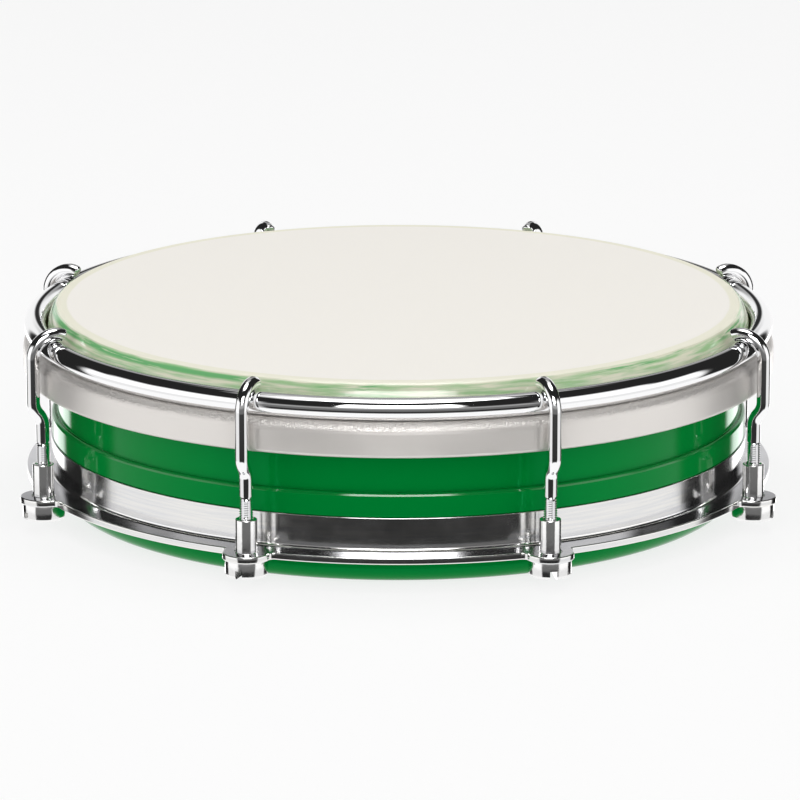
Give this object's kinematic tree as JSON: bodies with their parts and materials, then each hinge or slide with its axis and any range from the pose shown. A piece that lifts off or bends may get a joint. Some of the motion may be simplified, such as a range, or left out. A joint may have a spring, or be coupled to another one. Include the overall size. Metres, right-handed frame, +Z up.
{
  "type": "tamborim",
  "caption": "Small round hand drum: moulded shell open below, tensioned film head, round counter hoop, tuning hooks and slotted tube nuts in an eared tension ring.",
  "frame": {"origin": "centre of the shell's lower rim, on the drum's axis, which is the centre of the bounding box's bottom", "axes": "+Z up along the drum's axis to the playing surface; -Y is the side that faces the viewer, with a hook 22.5 degrees to each side of it"},
  "size_m": [0.1676, 0.1676, 0.0454],
  "materials": {
    "shell": "glossy moulded ABS, green",
    "head": "coated two ply film",
    "collar": "satin rolled sheet",
    "resin": "cast resin, hidden in the collar",
    "hoop": "polished chrome on steel bar",
    "ring": "polished chrome on steel sheet",
    "hooks": "polished chrome on steel rod",
    "nuts": "polished chrome on turned steel"
  },
  "bodies": {
    "drum": {"drum_shell": "shell", "head_film": "head", "head_collar": "collar", "resin_bead": "resin", "counter_hoop": "hoop", "tension_ring": "ring"},
    "nut_1": {"tuning_nut_1": "nuts"},
    "hook_1": {"tuning_hook_1": "hooks"},
    "nut_2": {"tuning_nut_2": "nuts"},
    "hook_2": {"tuning_hook_2": "hooks"},
    "nut_3": {"tuning_nut_3": "nuts"},
    "hook_3": {"tuning_hook_3": "hooks"},
    "nut_4": {"tuning_nut_4": "nuts"},
    "hook_4": {"tuning_hook_4": "hooks"},
    "nut_5": {"tuning_nut_5": "nuts"},
    "hook_5": {"tuning_hook_5": "hooks"},
    "nut_6": {"tuning_nut_6": "nuts"},
    "hook_6": {"tuning_hook_6": "hooks"},
    "nut_7": {"tuning_nut_7": "nuts"},
    "hook_7": {"tuning_hook_7": "hooks"},
    "nut_8": {"tuning_nut_8": "nuts"},
    "hook_8": {"tuning_hook_8": "hooks"}
  },
  "joints": [
    {"name": "nut_1_turn", "type": "hinge", "parent": "drum", "child": "nut_1", "pos_m": [0.07798, 0.0323, 0.0063], "axis": [0, 0, -1], "range_deg": [0, 1440]},
    {"name": "hook_1_lift", "type": "slide", "parent": "drum", "child": "hook_1", "axis": [0, 0, 1], "range_m": [0, 0.002]},
    {"name": "nut_2_turn", "type": "hinge", "parent": "drum", "child": "nut_2", "pos_m": [0.0323, 0.07798, 0.0063], "axis": [0, 0, -1], "range_deg": [0, 1440]},
    {"name": "hook_2_lift", "type": "slide", "parent": "drum", "child": "hook_2", "axis": [0, 0, 1], "range_m": [0, 0.002]},
    {"name": "nut_3_turn", "type": "hinge", "parent": "drum", "child": "nut_3", "pos_m": [-0.0323, 0.07798, 0.0063], "axis": [0, 0, -1], "range_deg": [0, 1440]},
    {"name": "hook_3_lift", "type": "slide", "parent": "drum", "child": "hook_3", "axis": [0, 0, 1], "range_m": [0, 0.002]},
    {"name": "nut_4_turn", "type": "hinge", "parent": "drum", "child": "nut_4", "pos_m": [-0.07798, 0.0323, 0.0063], "axis": [0, 0, -1], "range_deg": [0, 1440]},
    {"name": "hook_4_lift", "type": "slide", "parent": "drum", "child": "hook_4", "axis": [0, 0, 1], "range_m": [0, 0.002]},
    {"name": "nut_5_turn", "type": "hinge", "parent": "drum", "child": "nut_5", "pos_m": [-0.07798, -0.0323, 0.0063], "axis": [0, 0, -1], "range_deg": [0, 1440]},
    {"name": "hook_5_lift", "type": "slide", "parent": "drum", "child": "hook_5", "axis": [0, 0, 1], "range_m": [0, 0.002]},
    {"name": "nut_6_turn", "type": "hinge", "parent": "drum", "child": "nut_6", "pos_m": [-0.0323, -0.07798, 0.0063], "axis": [0, 0, -1], "range_deg": [0, 1440]},
    {"name": "hook_6_lift", "type": "slide", "parent": "drum", "child": "hook_6", "axis": [0, 0, 1], "range_m": [0, 0.002]},
    {"name": "nut_7_turn", "type": "hinge", "parent": "drum", "child": "nut_7", "pos_m": [0.0323, -0.07798, 0.0063], "axis": [0, 0, -1], "range_deg": [0, 1440]},
    {"name": "hook_7_lift", "type": "slide", "parent": "drum", "child": "hook_7", "axis": [0, 0, 1], "range_m": [0, 0.002]},
    {"name": "nut_8_turn", "type": "hinge", "parent": "drum", "child": "nut_8", "pos_m": [0.07798, -0.0323, 0.0063], "axis": [0, 0, -1], "range_deg": [0, 1440]},
    {"name": "hook_8_lift", "type": "slide", "parent": "drum", "child": "hook_8", "axis": [0, 0, 1], "range_m": [0, 0.002]}
  ],
  "couplings": [
    {"joint": "nut_1_turn", "follows": "hook_1_lift", "rad_per_m": 12566},
    {"joint": "nut_2_turn", "follows": "hook_2_lift", "rad_per_m": 12566},
    {"joint": "nut_3_turn", "follows": "hook_3_lift", "rad_per_m": 12566},
    {"joint": "nut_4_turn", "follows": "hook_4_lift", "rad_per_m": 12566},
    {"joint": "nut_5_turn", "follows": "hook_5_lift", "rad_per_m": 12566},
    {"joint": "nut_6_turn", "follows": "hook_6_lift", "rad_per_m": 12566},
    {"joint": "nut_7_turn", "follows": "hook_7_lift", "rad_per_m": 12566},
    {"joint": "nut_8_turn", "follows": "hook_8_lift", "rad_per_m": 12566}
  ]
}
